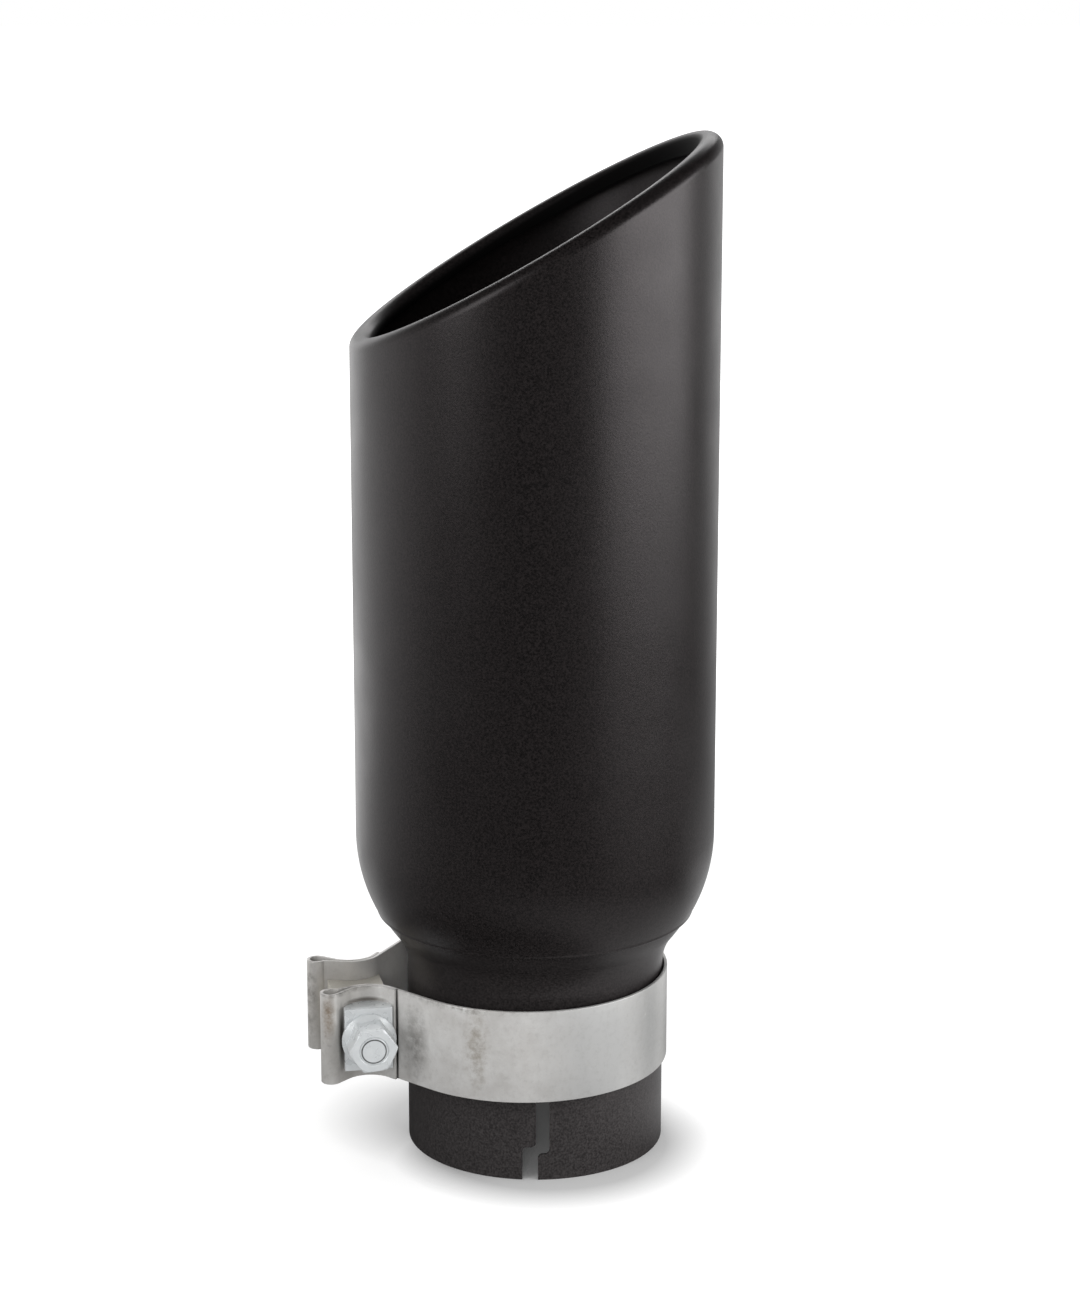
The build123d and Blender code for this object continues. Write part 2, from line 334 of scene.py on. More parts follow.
def dress(piece, node, body, material, sharp=32):
    """Merges and smooths a piece, gives it its finish and puts it on its body in the node's place."""
    work = bmesh.new()
    work.from_mesh(piece.data)
    bmesh.ops.remove_doubles(work, verts=work.verts, dist=merge_dist)
    bmesh.ops.recalc_face_normals(work, faces=work.faces)
    work.to_mesh(piece.data)
    work.free()
    piece.data.materials.clear()
    piece.data.materials.append(material)
    piece.data.shade_smooth()
    piece.data.set_sharp_from_angle(angle=math.radians(sharp))
    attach(piece, body)
    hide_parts(node)


def new_material(name):
    """A material and its shader tree, which is empty."""
    material = bpy.data.materials.new(name)
    material.use_nodes = True
    material.node_tree.nodes.clear()
    return material, material.node_tree


def close_material(tree, shader):
    """Links the shader to the material's output."""
    add(tree, "ShaderNodeOutputMaterial", {"Surface": shader.outputs["BSDF"]})


# Clamp strap: centre line of one half from its cut end over the trough, the rolled ear and the inner
# layer to the back of the band; the other half mirrors it.
mid_band_r = band_in_r + strap / 2
mid_out_r = trough_r + strap / 2
mid_in_r = mid_out_r + (strap + layer_gap)
mid_roll_r = roll_r - strap / 2
band_c = (band_shift, 0)
trough_c = (bolt_x, ear_half_gap + trough_r)
roll_c = (bolt_x + trough_r + roll_out, ear_half_gap + roll_up)
crease_c = arc(roll_c, mid_roll_r + crease_r, crease_angle, 0)[0]
band_a = cross_tangent(band_c, mid_band_r, trough_c, mid_in_r, 1)
out_a = cross_tangent(trough_c, mid_out_r, roll_c, mid_roll_r, -1)
rise_a = cross_tangent(trough_c, mid_in_r, crease_c, crease_r, -1)
half_line = arc(trough_c, mid_out_r, 180 + band_a, 180 + out_a - band_a)
cut_end = Vector(half_line[0]) + strap_end_len * heading(band_a).orthogonal()
half_line.insert(0, tuple(cut_end))
half_line += arc(roll_c, mid_roll_r, out_a + 180, crease_angle - 540 - out_a, 6)
half_line += arc(crease_c, crease_r, crease_angle - 180, rise_a + 360 - crease_angle, 8)
half_line += arc(trough_c, mid_in_r, rise_a, band_a - 180 - rise_a)
half_line += arc(band_c, mid_band_r, band_a, 180 - band_a, 1.5)
strap_line = half_line + flipped(half_line[:-1])
# Foot of the cut end, on the layer below it.
joint_place = cut_end - (strap / 2 + joint_sink) * heading(band_a)


# Satin black high-temperature coat, sprayed and baked: a warm black dielectric with a fine powdery
# grain that breaks up the gloss, so that lights show as broad soft bands.
black_coat, tree = new_material("baked_black_coat")
spot = add(tree, "ShaderNodeTexCoord").outputs["Object"]
# Powder grain of about 0.35 mm, drawn at 0.7 mm so that it shows.
grain = add(
    tree,
    "ShaderNodeTexNoise",
    {"Vector": spot, "Scale": 1 / (0.7 * MM), "Detail": 3, "Roughness": 0.6},
)
speckle = add(
    tree,
    "ShaderNodeMapRange",
    {"Value": grain.outputs["Fac"], "From Min": 0.36, "From Max": 0.64},
)
tone = add(
    tree,
    "ShaderNodeMix",
    {0: speckle.outputs["Result"], 6: linear("#0b0909"), 7: linear("#201c1c")},
    data_type="RGBA",
)
# Thickness of the coat changes over about 25 mm, and the gloss with it.
cloud = add(
    tree,
    "ShaderNodeTexNoise",
    {"Vector": spot, "Scale": 1 / (25 * MM), "Detail": 4, "Roughness": 0.55},
)
gloss = add(
    tree,
    "ShaderNodeMapRange",
    {"Value": cloud.outputs["Fac"], "From Min": 0.3, "From Max": 0.7, "To Min": 0.33, "To Max": 0.4},
)
# Towards the collar's foot the coat is made greyer.
height = add(tree, "ShaderNodeSeparateXYZ", {0: spot}).outputs["Z"]
foot_share = add(tree, "ShaderNodeMapRange", {"Value": height, "From Min": 95 * MM, "From Max": 20 * MM})
grey_foot_tone = add(
    tree,
    "ShaderNodeMix",
    {0: speckle.outputs["Result"], 6: linear("#262424"), 7: linear("#413e3e")},
    data_type="RGBA",
)
foot_tone = add(
    tree,
    "ShaderNodeMix",
    {0: foot_share.outputs["Result"], 6: tone.outputs[2], 7: grey_foot_tone.outputs[2]},
    data_type="RGBA",
)
# Inside the mouth, from the lip's crest inwards, the coat is painted shade: near black, matt, with little
# shine.
level = add(tree, "ShaderNodeVectorMath", {0: spot, 1: (1, 1, 0)}, operation="MULTIPLY")
radius = add(tree, "ShaderNodeVectorMath", {0: level.outputs[0]}, operation="LENGTH")
inner = add(
    tree,
    "ShaderNodeMapRange",
    {"Value": radius.outputs["Value"], "From Min": body_r - 6.8 * MM, "From Max": body_r - 8.3 * MM},
)
above = add(tree, "ShaderNodeMath", {0: height, 1: 100 * MM}, operation="GREATER_THAN")
inner_painted_shade = add(tree, "ShaderNodeMath", {0: inner.outputs["Result"], 1: above.outputs[0]}, operation="MULTIPLY")
inner_shade_tone = add(
    tree,
    "ShaderNodeMix",
    {0: inner_painted_shade.outputs[0], 6: foot_tone.outputs[2], 7: linear("#040404")},
    data_type="RGBA",
)
inner_shade_gloss = add(
    tree,
    "ShaderNodeMix",
    {0: inner_painted_shade.outputs[0], 2: gloss.outputs["Result"], 3: 0.75},
    data_type="FLOAT",
)
shine = add(tree, "ShaderNodeMapRange", {"Value": inner_painted_shade.outputs[0], "To Min": 0.5, "To Max": 0.08})
relief = add(
    tree,
    "ShaderNodeBump",
    {"Height": grain.outputs["Fac"], "Strength": 0.28, "Distance": 0.12 * MM},
)
coat = add(
    tree,
    "ShaderNodeBsdfPrincipled",
    {
        "Base Color": inner_shade_tone.outputs[2],
        "Roughness": inner_shade_gloss.outputs[0],
        "Specular IOR Level": shine.outputs["Result"],
        "Specular Tint": (1.0, 0.935, 0.95, 1.0),
        "Normal": relief.outputs["Normal"],
    },
)
close_material(tree, coat)

# Cold-rolled stainless strap, mill finish: light grey metal under a thin dull film, with fine rolling lines
# along the strap, cloudy patches from handling and brown stains on the ears; painted shade over the ears,
# beside the nut, round the block and on the band's right side, painted shadow and grime in the joint at the
# strap's end, and a painted pale patch behind the spacer.
strap_steel, tree = new_material("rolled_stainless")
spot = add(tree, "ShaderNodeTexCoord").outputs["Object"]
# Rolling lines about 0.15 mm apart, drawn at 0.5 mm so that they show; they run level round the band,
# each about 17 mm long.
stretched = add(tree, "ShaderNodeMapping", {"Vector": spot, "Scale": (60, 60, 1 / (0.5 * MM))})
lines = add(tree, "ShaderNodeTexNoise", {"Vector": stretched.outputs["Vector"], "Scale": 1, "Detail": 4})
# Cloudy patches of about 9 mm, and blotches of about 4 mm that break up the stains and the painted shade.
patch = add(
    tree,
    "ShaderNodeTexNoise",
    {"Vector": spot, "Scale": 1 / (9 * MM), "Detail": 6, "Roughness": 0.65},
)
blotch = add(
    tree,
    "ShaderNodeTexNoise",
    {"Vector": spot, "Scale": 1 / (4 * MM), "Detail": 8, "Roughness": 0.72},
)
cloudy = add(tree, "ShaderNodeMapRange", {"Value": patch.outputs["Fac"], "From Min": 0.35, "From Max": 0.65})
steel_tone = add(
    tree,
    "ShaderNodeMix",
    {0: cloudy.outputs["Result"], 6: linear("#d4d2cf"), 7: linear("#e4e3e1")},
    data_type="RGBA",
)
# Stains, painted shade and painted light: place in the clamp's frame and reach along its axes, both in
# millimetres, then the colour and the level of the blotches up to which the metal is left bare.
strap_stains_and_painted_light = [
    # Dull film on both ears, darker also as painted shade
    ((72.0, 0.0, 48.0), (20.0, 34.0, 34.0), "#a5a19b", 0.1),
    # Brown smear and dark blotches on the front ear's roll, grime on its top edge
    ((78.0, 21.5, 56.5), (3.4, 4.6, 11.0), "#927f6a", 0.34),
    ((79.5, 19.0, 48.0), (4.0, 9.0, 26.0), "#7f7a74", 0.54),
    ((70.0, 17.0, 66.0), (14.0, 14.0, 3.0), "#57524c", 0.36),
    # Far ear
    ((79.5, -19.0, 50.0), (4.5, 9.0, 26.0), "#69645f", 0.42),
    # Front of the band: painted shade beside the nut, a stain, and a darker line along the top edge
    ((51.0, 28.5, 47.0), (8.0, 8.0, 20.0), "#7d7975", 0.28),
    ((30.0, 44.5, 50.0), (6.0, 6.0, 20.0), "#b0a99f", 0.38),
    ((35.0, 40.0, 65.0), (32.0, 32.0, 2.4), "#86827d", 0.42),
    # Painted shade on the band's right side
    ((-14.0, 48.5, 48.0), (27.0, 27.0, 60.0), "#bdbdbc", 0.06),
    ((-39.6, 36.5, 48.0), (20.0, 20.0, 60.0), "#a6a6a5", 0.1),
    ((-46.0, 14.0, 48.0), (16.0, 18.0, 60.0), "#969695", 0.1),
    # Painted shadow round the block, and painted shadow with grime in the joint at the strap's end
    ((72.9, 19.0, 48.2), (1.5, 4.0, 14.0), "#4a4744", -0.3),
    ((64.0, 15.0, 60.2), (10.0, 6.0, 1.2), "#77736e", -0.3),
    ((joint_place[0] / MM, joint_place[1] / MM, 48.2), (1.0, 1.0, 40.0), "#1f1d1c", -0.3),
    # Painted light: a pale dull patch on the inner side behind the spacer, which lies in shade
    ((50.0, -24.0, 48.0), (18.0, 18.0, 40.0), "#eeece8", -0.3),
]
# Share of its reach over which a mark is whole, and range of the blotches over which it sets in.
mark_core = 0.3
mark_fade = 0.3
tone = steel_tone.outputs[2]
for place, reach, colour, bare in strap_stains_and_painted_light:
    centre = clamp_turn @ Vector(place) * MM
    axes = [axis / (length * MM) for axis, length in zip(clamp_axes, reach)]
    shape = add(tree, "ShaderNodeCombineXYZ", dict(enumerate(along_axes(tree, spot, centre, axes))))
    far = add(tree, "ShaderNodeVectorMath", {0: shape.outputs[0]}, operation="LENGTH")
    near = add(
        tree,
        "ShaderNodeMapRange",
        {"Value": far.outputs["Value"], "From Min": 1.0, "From Max": mark_core},
    )
    broken = add(
        tree,
        "ShaderNodeMapRange",
        {"Value": blotch.outputs["Fac"], "From Min": bare, "From Max": bare + mark_fade},
    )
    amount = add(
        tree,
        "ShaderNodeMath",
        {0: near.outputs["Result"], 1: broken.outputs["Result"]},
        operation="MULTIPLY",
    )
    tone = add(
        tree,
        "ShaderNodeMix",
        {0: amount.outputs[0], 6: tone, 7: linear(colour)},
        data_type="RGBA",
    ).outputs[2]
# Where the last row's painted light lies, the strap is not metallic, so it mirrors nothing there.
metallic_out_of_painted_light = add(tree, "ShaderNodeMapRange", {"Value": amount.outputs[0], "To Min": 0.4, "To Max": 0.0})
# Fine dull mottling of about 1 mm over it all, drawn at 2 mm so that it shows.
pit = add(
    tree,
    "ShaderNodeTexNoise",
    {"Vector": spot, "Scale": 1 / (2 * MM), "Detail": 6, "Roughness": 0.75},
)
pitted = add(
    tree,
    "ShaderNodeMapRange",
    {"Value": pit.outputs["Fac"], "From Min": 0.5, "From Max": 0.75, "To Max": 0.24},
)
mottled_tone = add(
    tree,
    "ShaderNodeMix",
    {0: pitted.outputs["Result"], 6: tone, 7: linear("#b3b0ac")},
    data_type="RGBA",
    blend_type="MULTIPLY",
)
steel_gloss = add(
    tree,
    "ShaderNodeMapRange",
    {"Value": lines.outputs["Fac"], "From Min": 0.25, "From Max": 0.75, "To Min": 0.34, "To Max": 0.46},
)
steel_relief = add(
    tree,
    "ShaderNodeBump",
    {"Height": lines.outputs["Fac"], "Strength": 0.1, "Distance": 0.05 * MM},
)
steel = add(
    tree,
    "ShaderNodeBsdfPrincipled",
    {
        "Base Color": mottled_tone.outputs[2],
        "Metallic": metallic_out_of_painted_light.outputs["Result"],
        "Roughness": steel_gloss.outputs["Result"],
        "Normal": steel_relief.outputs["Normal"],
    },
)
close_material(tree, steel)

# Bright zinc plate on steel: bluish white metal, a little cloudy.
zinc_plate, tree = new_material("bright_zinc_plate")
spot = add(tree, "ShaderNodeTexCoord").outputs["Object"]
# Cloudy bloom of about 3 mm.
bloom = add(
    tree,
    "ShaderNodeTexNoise",
    {"Vector": spot, "Scale": 1 / (3 * MM), "Detail": 1, "Roughness": 0.5},
)
zinc_tone = add(
    tree,
    "ShaderNodeMix",
    {0: bloom.outputs["Fac"], 6: linear("#ccd0d2"), 7: linear("#e2e5e6")},
    data_type="RGBA",
)
zinc_gloss = add(
    tree,
    "ShaderNodeMapRange",
    {"Value": bloom.outputs["Fac"], "From Min": 0.3, "From Max": 0.7, "To Min": 0.25, "To Max": 0.36},
)
# Painted shade in the groove round the bolt's end, on the nut's side only.
bolt_mid = bolt_place.translation
out, up, to_nut = along_axes(tree, spot, bolt_mid, (ear_dir, up_dir, bolt_dir))
across = add(tree, "ShaderNodeCombineXYZ", {0: out, 1: up})
from_axis = add(tree, "ShaderNodeVectorMath", {0: across.outputs[0]}, operation="LENGTH").outputs["Value"]
ring_r = bolt_r - 0.75 * MM
off_ring = add(tree, "ShaderNodeMath", {0: from_axis, 1: ring_r}, operation="SUBTRACT")
ring_gap = add(tree, "ShaderNodeMath", {0: off_ring.outputs[0]}, operation="ABSOLUTE")
in_ring = add(
    tree,
    "ShaderNodeMapRange",
    {"Value": ring_gap.outputs[0], "From Min": 0.35 * MM, "From Max": 0.08 * MM},
)
nut_side = add(tree, "ShaderNodeMath", {0: to_nut, 1: 0.0}, operation="GREATER_THAN")
groove_shade = add(tree, "ShaderNodeMath", {0: in_ring.outputs[0], 1: nut_side.outputs[0]}, operation="MULTIPLY")
ringed_tone = add(
    tree,
    "ShaderNodeMix",
    {0: groove_shade.outputs[0], 6: zinc_tone.outputs[2], 7: linear("#3a3b3c")},
    data_type="RGBA",
)
zinc = add(
    tree,
    "ShaderNodeBsdfPrincipled",
    {"Base Color": ringed_tone.outputs[2], "Metallic": 0.25, "Roughness": zinc_gloss.outputs["Result"]},
)
close_material(tree, zinc)

# Sintered steel spacer: dull beige-grey, with the fine pits of pressed powder.
sintered, tree = new_material("sintered_steel")
spot = add(tree, "ShaderNodeTexCoord").outputs["Object"]
# Pits of about 0.3 mm, drawn at 0.6 mm so that they show.
pits = add(
    tree,
    "ShaderNodeTexNoise",
    {"Vector": spot, "Scale": 1 / (0.6 * MM), "Detail": 4, "Roughness": 0.7},
)
pit_tone = add(
    tree,
    "ShaderNodeMix",
    {0: pits.outputs["Fac"], 6: linear("#c2beb3"), 7: linear("#e6e2d9")},
    data_type="RGBA",
)
pit_relief = add(
    tree,
    "ShaderNodeBump",
    {"Height": pits.outputs["Fac"], "Strength": 0.3, "Distance": 0.1 * MM},
)
powder_steel = add(
    tree,
    "ShaderNodeBsdfPrincipled",
    {
        "Base Color": pit_tone.outputs[2],
        "Metallic": 0.3,
        "Roughness": 0.6,
        "Normal": pit_relief.outputs["Normal"],
    },
)
close_material(tree, powder_steel)


# Shell: one section of it is a row of stations, up the outside and back down the inside. Each says which
# skin it is on, how far along the shoulder, the wall, the rolled lip and the lip's leg it lies, whether
# it is on the lip, and how high the bead along the shell's lower edge is there.
station_names = ("skin", "bend", "rise", "sweep", "drop", "lip", "bead")
edge_beads = [(1, 0.2), (0.995, 0.7), (0.988, 1), (0.978, 0.9), (0.966, 0.5), (0.955, 0.15), (0.945, 0)]
bead_end = 0.93
shoulder_rows = 24
wall_rows = 24
lip_rows = 36
outside = [(bend, 0, 0, 0, 0, bead) for bend, bead in edge_beads]
outside += [(bead_end * (1 - a), 0, 0, 0, 0, 0) for a in np.linspace(0, 1, shoulder_rows)]
outside += [(0, a, 0, 0, 0, 0) for a in np.linspace(0, 1, wall_rows + 1)[1:]]
outside += [(0, 0, a, 0, 1, 0) for a in np.linspace(0, 1, lip_rows + 1)[1:]]
outside += [(0, 0, 1, a, 1, 0) for a in (0.5, 1.0)]
inside = [s[:5] + (0,) for s in outside[::-1]]
stations = np.array([(0,) + s for s in outside] + [(1,) + s for s in inside], float)
shell_turns = 288
turn_angles = np.linspace(0, 2 * math.pi, shell_turns, endpoint=False)
shell_points = np.zeros((shell_turns * len(stations), 3))
shell = new_piece("tip_shell", shell_points, grid_faces(shell_turns, len(stations), True))
station_values = {"turn": np.repeat(turn_angles, len(stations))}
for column, name in enumerate(station_names):
    station_values[name] = np.tile(stations[:, column], shell_turns)
for name, values in station_values.items():
    shell.data.attributes.new(name, "FLOAT", "POINT").data.foreach_set("value", values)

# The rule of the shell: a lathed shoulder and wall up to the slash, a ball of the lip's radius rolled
# round between wall and slash plane, and a straight leg down to the leg's depth.
shell_sizes = {
    "Body radius": body_r,
    "Sheet": sheet,
    "Lip radius": lip_r,
    "Leg depth": leg_depth,
    "Slash angle": slash_angle,
    "Crest height": crest_z,
    "Shoulder arc": shoulder_arc_r,
    "Shoulder top": shoulder_top_z,
    "Seam height": seam_z,
    "Bead height": bead_h,
}
shell_rule = [
    ("cos", "COSINE", "turn"),
    ("sin", "SINE", "turn"),
    ("slash_sin", "SINE", "Slash angle"),
    ("slash_cos", "COSINE", "Slash angle"),
    ("slash_tan", "TANGENT", "Slash angle"),
    ("inset", "MULTIPLY", "skin", "Sheet"),
    ("arc_r", "SUBTRACT", "Shoulder arc", "inset"),
    ("roll_r", "SUBTRACT", "Lip radius", "inset"),
    # Centre of the rolling ball
    ("ball_r", "SUBTRACT", "Body radius", "Lip radius"),
    ("ball_x", "MULTIPLY", "ball_r", "cos"),
    ("ball_y", "MULTIPLY", "ball_r", "sin"),
    ("crest_gap", "DIVIDE", "Lip radius", "slash_cos"),
    ("ball_base", "SUBTRACT", "Crest height", "crest_gap"),
    ("ball_z", "MULTIPLY_ADD", "ball_x", "slash_tan", "ball_base"),
    # Shoulder and wall
    ("arc_rise", "SUBTRACT", "Shoulder top", "Seam height"),
    ("arc_share", "DIVIDE", "arc_rise", "arc_r"),
    ("arc_full", "ARCSINE", "arc_share"),
    ("arc_a", "MULTIPLY", "arc_full", "bend"),
    ("arc_cos", "COSINE", "arc_a"),
    ("arc_sin", "SINE", "arc_a"),
    ("arc_axis", "SUBTRACT", "Body radius", "Shoulder arc"),
    ("skin_r", "MULTIPLY_ADD", "arc_r", "arc_cos", "arc_axis"),
    ("wall_r", "MULTIPLY_ADD", "bead", "Bead height", "skin_r"),
    ("arc_drop", "MULTIPLY", "arc_r", "arc_sin"),
    ("arc_z", "SUBTRACT", "Shoulder top", "arc_drop"),
    ("wall_run", "SUBTRACT", "ball_z", "Shoulder top"),
    ("wall_x", "MULTIPLY", "wall_r", "cos"),
    ("wall_y", "MULTIPLY", "wall_r", "sin"),
    ("wall_z", "MULTIPLY_ADD", "wall_run", "rise", "arc_z"),
    # Angle round the lip, from the wall over the crest to the leg
    ("lean", "MULTIPLY", "slash_sin", "cos"),
    ("lean_sq", "MULTIPLY", "lean", "lean"),
    ("level_sq", "SUBTRACT", 1.0, "lean_sq"),
    ("level", "SQRT", "level_sq"),
    ("leg_a", "ARCCOSINE", "lean"),
    ("wall_a", "SUBTRACT", math.pi, "leg_a"),
    ("cut_gap", "SUBTRACT", "Lip radius", "Leg depth"),
    ("cut_share", "DIVIDE", "cut_gap", "roll_r"),
    ("cut_a", "ARCCOSINE", "cut_share"),
    ("end_a", "MINIMUM", "leg_a", "cut_a"),
    ("span", "ADD", "wall_a", "end_a"),
    ("swept", "MULTIPLY", "span", "sweep"),
    ("roll_a", "SUBTRACT", "wall_a", "swept"),
    ("roll_cos", "COSINE", "roll_a"),
    ("roll_sin", "SINE", "roll_a"),
    # Point on the lip, up along the slash normal and out in the slash plane
    ("up", "MULTIPLY", "roll_r", "roll_cos"),
    ("out_level", "MULTIPLY", "roll_r", "roll_sin"),
    ("out", "DIVIDE", "out_level", "level"),
    ("slash_cos_sq", "MULTIPLY", "slash_cos", "slash_cos"),
    ("out_x", "MULTIPLY", "cos", "slash_cos_sq"),
    ("out_z", "MULTIPLY", "lean", "slash_cos"),
    ("lip_out_x", "MULTIPLY_ADD", "out", "out_x", "ball_x"),
    ("up_x", "MULTIPLY", "up", "slash_sin"),
    ("lip_x", "SUBTRACT", "lip_out_x", "up_x"),
    ("lip_y", "MULTIPLY_ADD", "out", "sin", "ball_y"),
    ("lip_out_z", "MULTIPLY_ADD", "out", "out_z", "ball_z"),
    ("roll_z", "MULTIPLY_ADD", "up", "slash_cos", "lip_out_z"),
    # Leg, straight down to its depth below the slash plane
    ("leg_gap", "DIVIDE", "Leg depth", "slash_cos"),
    ("leg_base", "SUBTRACT", "Crest height", "leg_gap"),
    ("leg_z", "MULTIPLY_ADD", "lip_x", "slash_tan", "leg_base"),
    ("leg_run", "SUBTRACT", "leg_z", "roll_z"),
    ("leg_down", "MINIMUM", "leg_run", -leg_least),
    ("lip_z", "MULTIPLY_ADD", "leg_down", "drop", "roll_z"),
]
tree, entry = rule_tree("rolled_slash_shell", shell_sizes)
values = {name: entry.outputs[name] for name in shell_sizes}
for name in station_values:
    values[name] = add(tree, "GeometryNodeInputNamedAttribute", {"Name": name}, data_type="FLOAT").outputs[0]
work_out(tree, values, shell_rule)
on_wall = add(tree, "ShaderNodeCombineXYZ", {0: values["wall_x"], 1: values["wall_y"], 2: values["wall_z"]})
on_lip = add(tree, "ShaderNodeCombineXYZ", {0: values["lip_x"], 1: values["lip_y"], 2: values["lip_z"]})
place = add(
    tree,
    "GeometryNodeSwitch",
    {"Switch": values["lip"], "False": on_wall.outputs[0], "True": on_lip.outputs[0]},
    input_type="VECTOR",
)
shaped = add(
    tree,
    "GeometryNodeSetPosition",
    {"Geometry": entry.outputs["Geometry"], "Position": place.outputs["Output"]},
)
apply_rule(shell, tree, shaped.outputs["Geometry"], black_coat, shell_sizes)
for name in station_values:
    shell.data.attributes.remove(shell.data.attributes[name])
dress(shell, "outer_shell", "tip", black_coat, 50)

# Collar: lathed neck with a flared top that runs in under the shell's edge, its lower rim eased, and the
# stepped slot cut through.
flare_centre = (neck_r + flare_arc_r, flare_z)
shoulder_centre = (body_r - shoulder_arc_r, shoulder_top_z)
bend_a = math.degrees(math.asin(bend_cos))
seam_drop = shoulder_top_z - seam_z
collar_in_arc_r = collar_arc_r - sheet
seam_a = math.degrees(math.asin(seam_drop / collar_arc_r))
seam_in_a = math.degrees(math.asin(seam_drop / collar_in_arc_r))
neck_foot = [(neck_in_r, 0, rim_edge), (neck_r, 0, rim_edge)]
neck_top = [(neck_r, flare_z, 0), (neck_in_r, flare_z, 0)]
section = [tuple(p) for p in rounded(neck_foot + neck_top)[:-2]]
section += arc(flare_centre, flare_arc_r, 180, -bend_a)
section += arc(shoulder_centre, collar_arc_r, -bend_a, bend_a - seam_a, 1.5)[1:]
section += arc(shoulder_centre, collar_in_arc_r, -seam_in_a, seam_in_a - bend_a, 1.5)
section += arc(flare_centre, flare_arc_r + sheet, 180 - bend_a, bend_a)[1:]
collar_turns = 192
collar_points = [
    (r * math.cos(a), r * math.sin(a), z)
    for a in np.linspace(0, 2 * math.pi, collar_turns, endpoint=False)
    for r, z in section
]
collar = new_piece("slotted_collar", collar_points, grid_faces(collar_turns, len(section), True))
slot_outline = rounded(
    [
        (slot_low[0], -cut_over, 0),
        (slot_low[1], -cut_over, 0),
        (slot_low[1], slot_step_low_z, slot_corner_r),
        (slot_high[1], slot_step_low_z, slot_corner_r),
        (slot_high[1], slot_top_z, slot_corner_r),
        (slot_high[0], slot_top_z, slot_corner_r),
        (slot_high[0], slot_step_high_z, slot_corner_r),
        (slot_low[0], slot_step_high_z, slot_corner_r),
    ]
)
slot_tool = prism("slot_tool", slot_outline, *slot_tool_span)
slot_tool.data.transform(Matrix.Rotation(math.radians(90), 4, "X"))
cut(collar, slot_tool)
dress(collar, "inlet_collar", "tip", black_coat)

# Clamp strap: its section follows its centre line.
line_data = bpy.data.curves.new("clamp_strap", "CURVE")
line_data.dimensions = "3D"
spline = line_data.splines.new("POLY")
spline.points.add(len(strap_line) - 1)
for point, (x, y) in zip(spline.points, strap_line):
    point.co = (*(clamp_turn @ Vector((x, y, 0)) + band_mid), 1)
band = bpy.data.objects.new("clamp_strap", line_data)
scene.collection.objects.link(band)
strap_sizes = {"Strap thickness": strap, "Strap width": band_w, "Edge radius": strap_edge}
tree, entry = rule_tree("strap_on_line", strap_sizes)
level = add(tree, "GeometryNodeSetCurveNormal", {"Curve": entry.outputs["Geometry"]}, mode="Z_UP")
flat = add(
    tree,
    "GeometryNodeCurvePrimitiveQuadrilateral",
    {"Width": entry.outputs["Strap thickness"], "Height": entry.outputs["Strap width"]},
    mode="RECTANGLE",
)
eased = add(
    tree,
    "GeometryNodeFilletCurve",
    {"Curve": flat.outputs["Curve"], "Radius": entry.outputs["Edge radius"], "Count": 3},
    mode="POLY",
)
swept = add(
    tree,
    "GeometryNodeCurveToMesh",
    {"Curve": level.outputs["Curve"], "Profile Curve": eased.outputs["Curve"], "Fill Caps": True},
)
band = apply_rule(band, tree, swept.outputs["Mesh"], strap_steel, strap_sizes)
drill(band, strap_hole_gap)
dress(band, "clamp_band", "tip", strap_steel)

# Spacer between the ears, hollowed on both sides to the strap's troughs.
spacer_r = mid_in_r + strap / 2 + seat_gap
hollow = arc(trough_c, spacer_r, 180 + band_a, rise_a + 180 - band_a, 4)
rise = heading(rise_a).orthogonal()
run = (bolt_x + trough_r - hollow[-1][0]) / rise.x
upper = hollow + [(bolt_x + trough_r, hollow[-1][1] + run * rise.y)]
spacer = prism("ear_spacer_block", upper + flipped(upper), -spacer_h / 2, spacer_h / 2)
spacer.data.transform(clamp_place)
drill(spacer, bolt_hole_gap)
soften(spacer, spacer_edge)
dress(spacer, "ear_spacer", "tip", sintered)

# Blocks under the nut and under the bolt head: flat face outside, round back in the trough.
block_arc_r = trough_r - seat_gap
block_face = trough_c[1] - block_arc_r + block_depth
edge_a = math.degrees(math.acos(block_w / 2 / block_arc_r))
block_outline = arc(trough_c, block_arc_r, 180 + edge_a, 180 - 2 * edge_a, 5)
block_outline += [(bolt_x + block_w / 2, block_face), (bolt_x - block_w / 2, block_face)]
block_pieces = (
    ("nut_seat", "nut_block", block_outline),
    ("head_seat", "head_block", flipped(block_outline)),
)
for name, node, outline in block_pieces:
    block = prism(name, outline, -block_h / 2, block_h / 2)
    block.data.transform(clamp_place)
    drill(block, bolt_hole_gap)
    soften(block, block_edge)
    dress(block, node, "tip", zinc_plate)

# Nut and bolt are turned about the bolt, with a section of their own at each angle, because the flats of
# the hexagon change the radius.
hex_corner_r = nut_af / math.sqrt(3)
bevel_r = hex_corner_r - hex_bevel
hex_turns = 144


